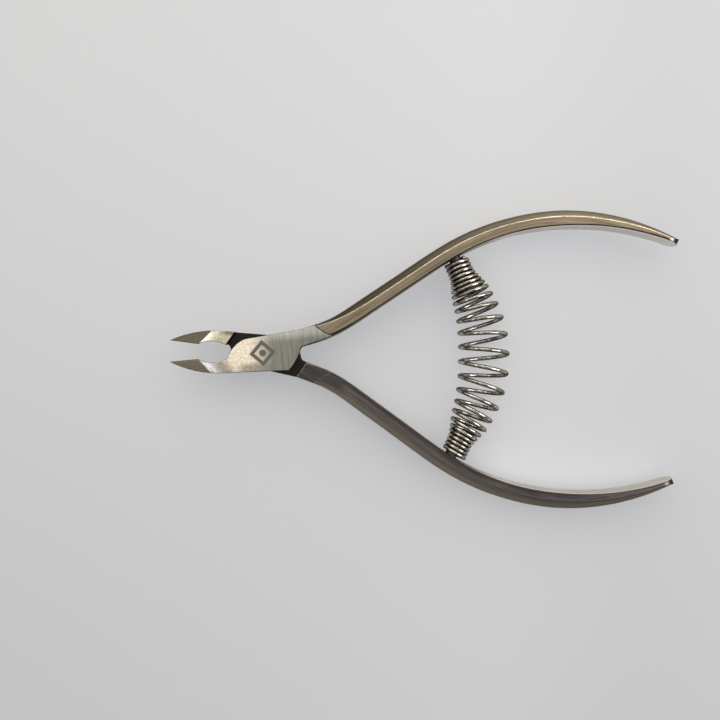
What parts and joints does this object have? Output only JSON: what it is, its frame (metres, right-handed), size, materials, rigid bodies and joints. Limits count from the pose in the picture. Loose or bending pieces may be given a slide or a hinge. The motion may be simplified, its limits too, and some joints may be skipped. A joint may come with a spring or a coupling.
{
  "type": "cuticle nipper",
  "caption": "Hand-held cuticle nipper: two crossed forged steel levers on a lap-joint rivet, short pointed cutting jaws and a barrel spring between bowed handles.",
  "frame": {"origin": "where the pivot axis meets the ground back face of the joint", "axes": "+Z along the pivot axis towards the front face, +X from the pivot towards the handles, -X towards the jaws, +Y towards the front lever's handle"},
  "size_m": [0.1111, 0.0654, 0.0112],
  "materials": {
    "lever_steel": "satin brushed stainless steel",
    "rivet_steel": "ground stainless steel",
    "spring_wire": "bright nickel-plated wire"
  },
  "bodies": {
    "front": {"front_lever": "lever_steel", "pivot_rivet": "rivet_steel", "spring_peg_upper": "rivet_steel", "spring": "spring_wire"},
    "back": {"back_lever": "lever_steel", "spring_peg_lower": "rivet_steel"}
  },
  "joints": [
    {"name": "pivot", "type": "hinge", "parent": "front", "child": "back", "pos_m": [0, 0, 0.0032], "axis": [0, 0, 1], "range_deg": [-5, 12.6], "stiffness_Nm_per_rad": 1.2, "deforming": ["spring"]}
  ]
}
